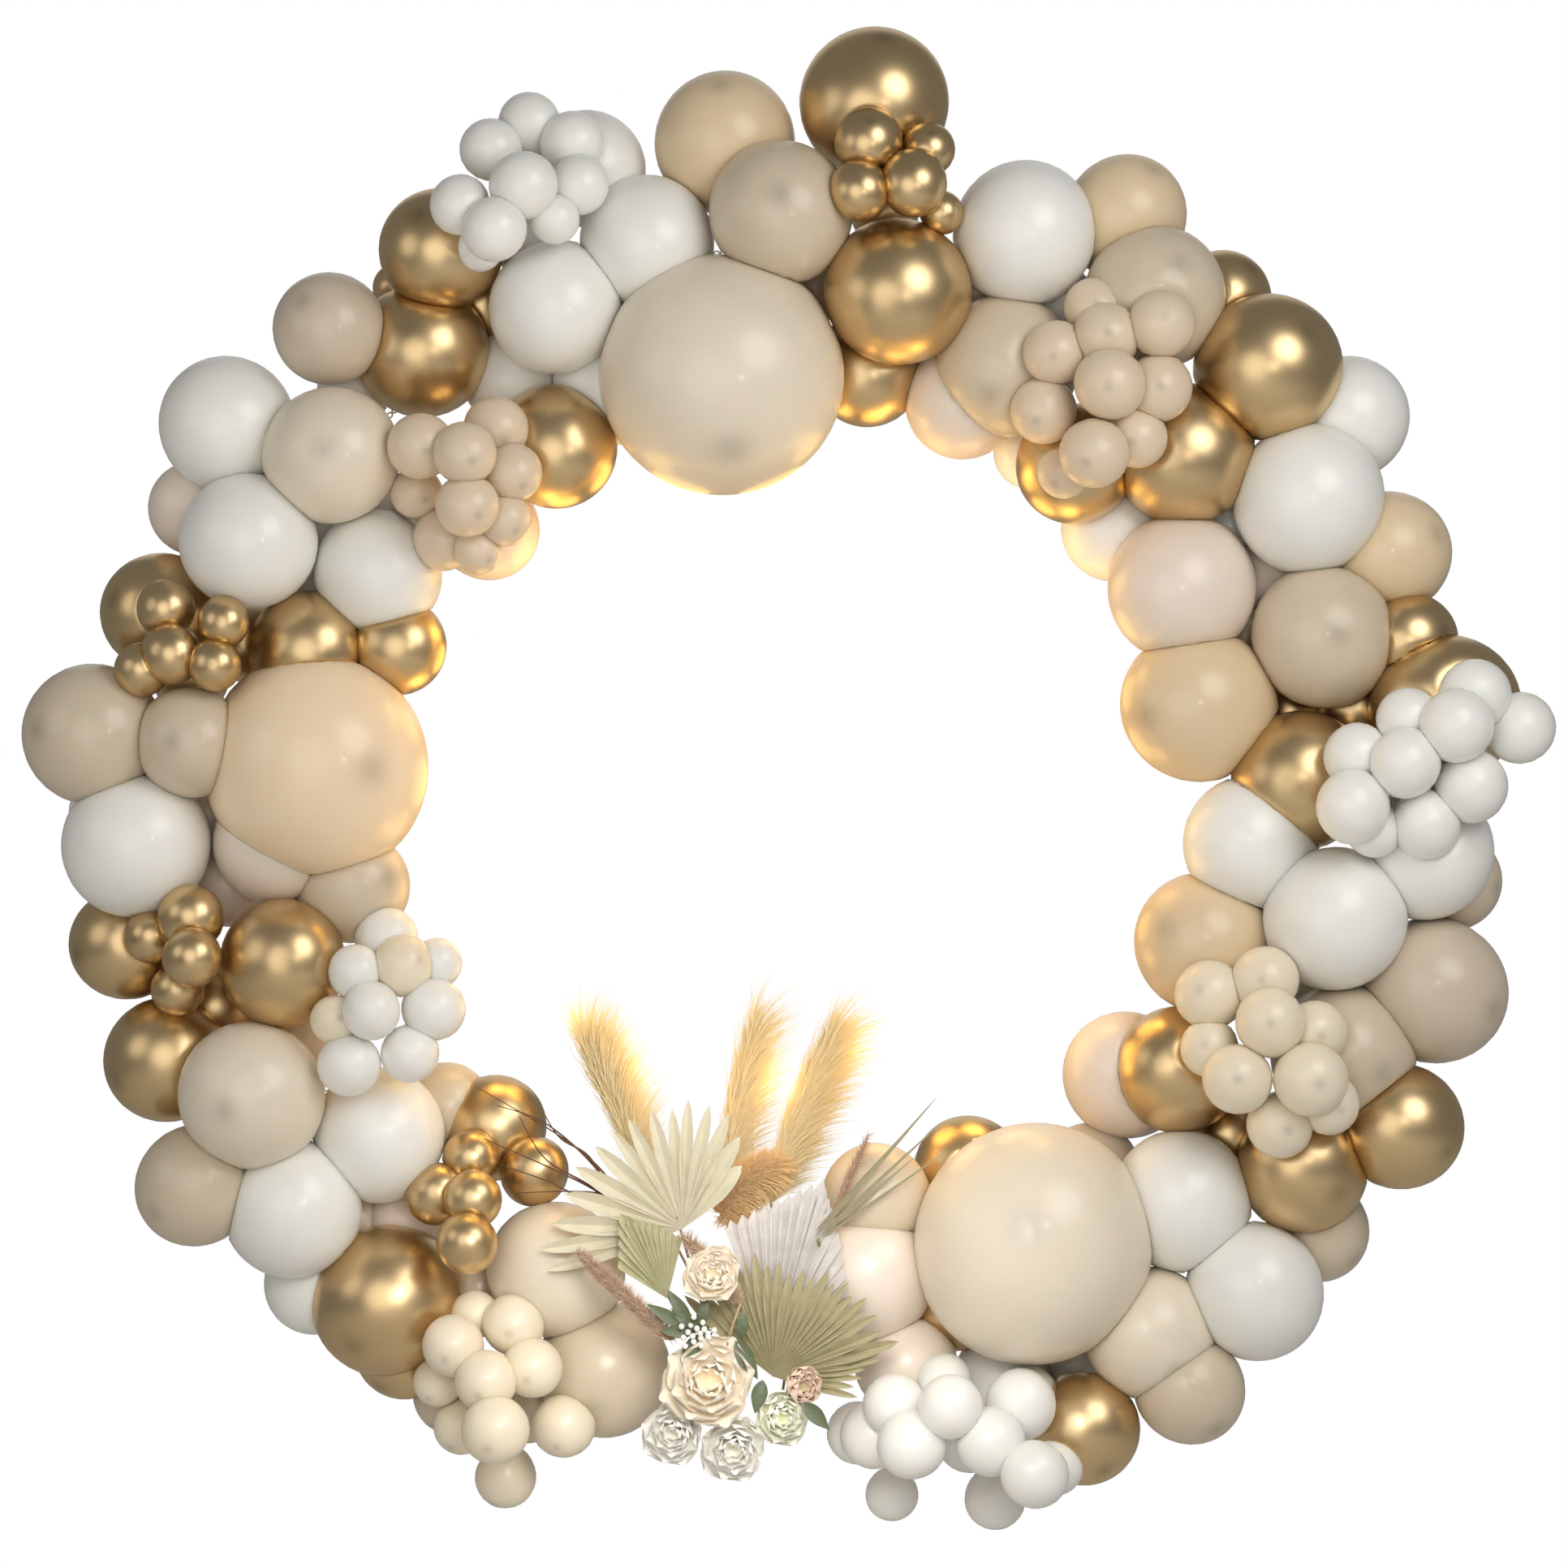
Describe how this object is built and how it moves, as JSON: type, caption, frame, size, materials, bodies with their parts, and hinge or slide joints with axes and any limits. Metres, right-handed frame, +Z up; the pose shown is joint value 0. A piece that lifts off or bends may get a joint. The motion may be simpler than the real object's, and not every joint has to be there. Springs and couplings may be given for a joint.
{
  "type": "balloon garland",
  "caption": "Full ring garland of pressed latex and chrome balloons on a decorating strip, with a dried palm, pampas and rose bouquet low on the ring.",
  "frame": {"origin": "the hanging point: top of the strip ring, on its back face", "axes": "+Z up, the front faces -Y, +X to the viewer's right"},
  "size_m": [2.8342, 0.5125, 2.74],
  "materials": {
    "strip_plastic": "clear decorating strip, slightly milky",
    "white_latex": "satin inflated latex, white to blush white",
    "sand_latex": "satin inflated latex, warm sand grey",
    "cream_latex": "satin inflated latex, cream",
    "nude_latex": "satin inflated latex, nude to peach",
    "gold_latex": "chrome finish latex, pale gold",
    "dried_palm": "dried pleated palm leaf, olive to beige",
    "green_palm": "dried trimmed palm leaf, dull green",
    "white_palm": "bleached trimmed palm leaf",
    "pampas": "soft golden cream plume",
    "foxtail": "soft dusty brown bristles",
    "rose_petals": "matte cream and white petals"
  },
  "bodies": {
    "root": {"strip": "strip_plastic", "gold_balloons_top": "gold_latex", "cream_and_sand_balloons_top": "cream_latex", "gold_balloons_inner_top": "gold_latex", "huge_balloon_top": "nude_latex", "pale_balloons_upper_right": "white_latex", "nude_balloons_upper_right": "nude_latex", "gold_balloons_upper_right": "gold_latex", "white_balloons_upper_right": "white_latex", "pale_balloons_inner_right": "white_latex", "sand_balloons_right": "sand_latex", "gold_balloons_outer_right": "gold_latex", "gold_balloon_inner_right": "gold_latex", "white_balloons_right": "white_latex", "cream_balloons_lower_right": "cream_latex", "sand_balloons_lower_right": "sand_latex", "gold_balloon_inner_lower_right": "gold_latex", "pale_balloon_inner_lower_right": "white_latex", "gold_balloons_outer_lower_right": "gold_latex", "white_balloons_lower_right": "white_latex", "huge_balloon_lower_right": "nude_latex", "gold_balloon_bottom": "gold_latex", "white_balloons_bottom": "white_latex", "gold_balloon_inner_bottom": "gold_latex", "gold_balloon_low_bottom": "gold_latex", "pale_balloons_inner_bottom": "white_latex", "cream_balloons_bottom_left": "cream_latex", "gold_balloon_bottom_left": "gold_latex", "gold_balloons_inner_lower_left": "gold_latex", "white_balloons_lower_left": "white_latex", "gold_balloon_left": "gold_latex", "gold_balloons_outer_left": "gold_latex", "gold_balloon_outer_lower_left": "gold_latex", "nude_balloons_lower_left": "nude_latex", "pale_balloons_left": "white_latex", "huge_balloon_left": "nude_latex", "white_balloons_inner_left": "white_latex", "gold_balloons_upper_left": "gold_latex", "gold_balloons_inner_left": "gold_latex", "white_balloons_upper_left": "white_latex", "white_balloon_inner_upper_left": "white_latex", "nude_balloon_upper_left": "nude_latex", "nude_balloons_inner_upper_left": "nude_latex", "gold_and_nude_balloons_top_left": "gold_latex", "gold_balloon_inner_top_left": "gold_latex", "white_balloons_top_left": "white_latex", "beige_palm_fan": "dried_palm", "small_green_palm_fan": "green_palm", "white_palm_fan": "white_palm", "large_olive_palm_fan": "dried_palm", "left_pampas_plume": "pampas", "middle_pampas_plume": "pampas", "right_pampas_plume": "pampas", "left_foxtail": "foxtail", "right_foxtail": "foxtail", "front_rose": "rose_petals", "upper_rose": "rose_petals", "left_white_rose": "rose_petals", "middle_white_rose": "rose_petals", "right_white_rose": "rose_petals"}
  },
  "joints": []
}
